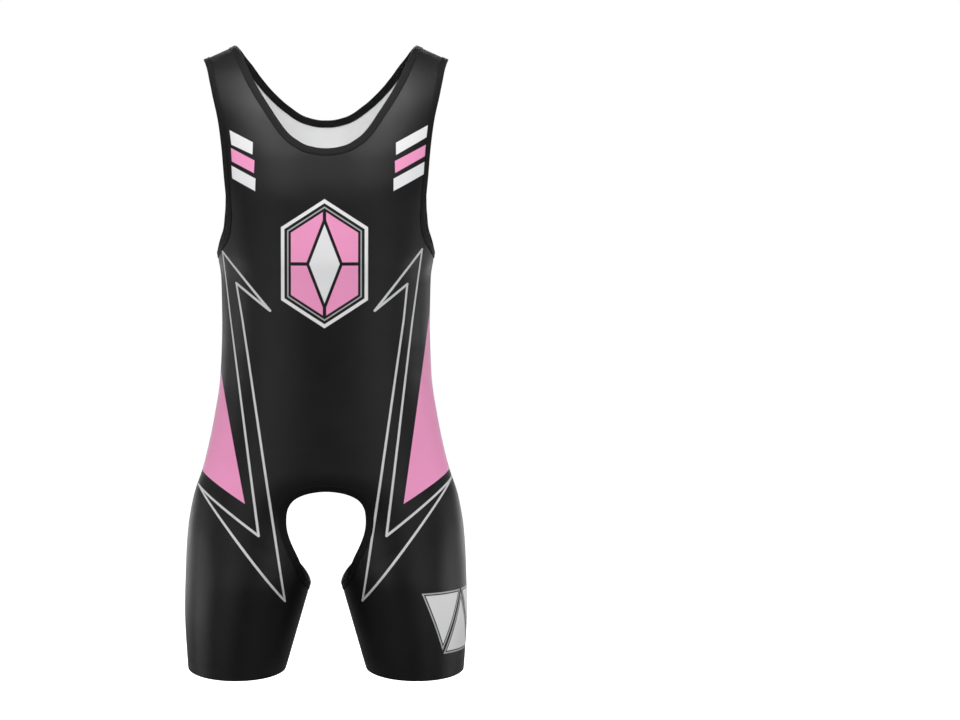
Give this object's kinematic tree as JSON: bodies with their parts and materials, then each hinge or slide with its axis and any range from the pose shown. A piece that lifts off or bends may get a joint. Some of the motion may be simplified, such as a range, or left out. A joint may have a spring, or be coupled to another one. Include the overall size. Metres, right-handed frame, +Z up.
{
  "type": "wrestling singlet",
  "caption": "Sleeveless one-piece stretch suit in its worn, hollow shape, with wide straps, scoop neck, thigh-length legs and a bound cut-away between the legs.",
  "frame": {"origin": "midway between the two shoulder straps, level with the neck ends of the shoulder seams, where the wearer's shoulders hold the garment", "axes": "+Z up, the front of the garment faces -Y, +X towards the wearer's left"},
  "size_m": [0.3808, 0.2031, 0.8435],
  "materials": {
    "stretch_cloth": "satin polyester and elastane knit, black outside and white inside, with a print",
    "binding_tape": "black folded stretch tape"
  },
  "bodies": {
    "root": {"front_panel": "stretch_cloth", "back_panel": "stretch_cloth", "neck_binding": "binding_tape", "armhole_binding_left": "binding_tape", "armhole_binding_right": "binding_tape", "opening_binding": "binding_tape"}
  },
  "joints": []
}
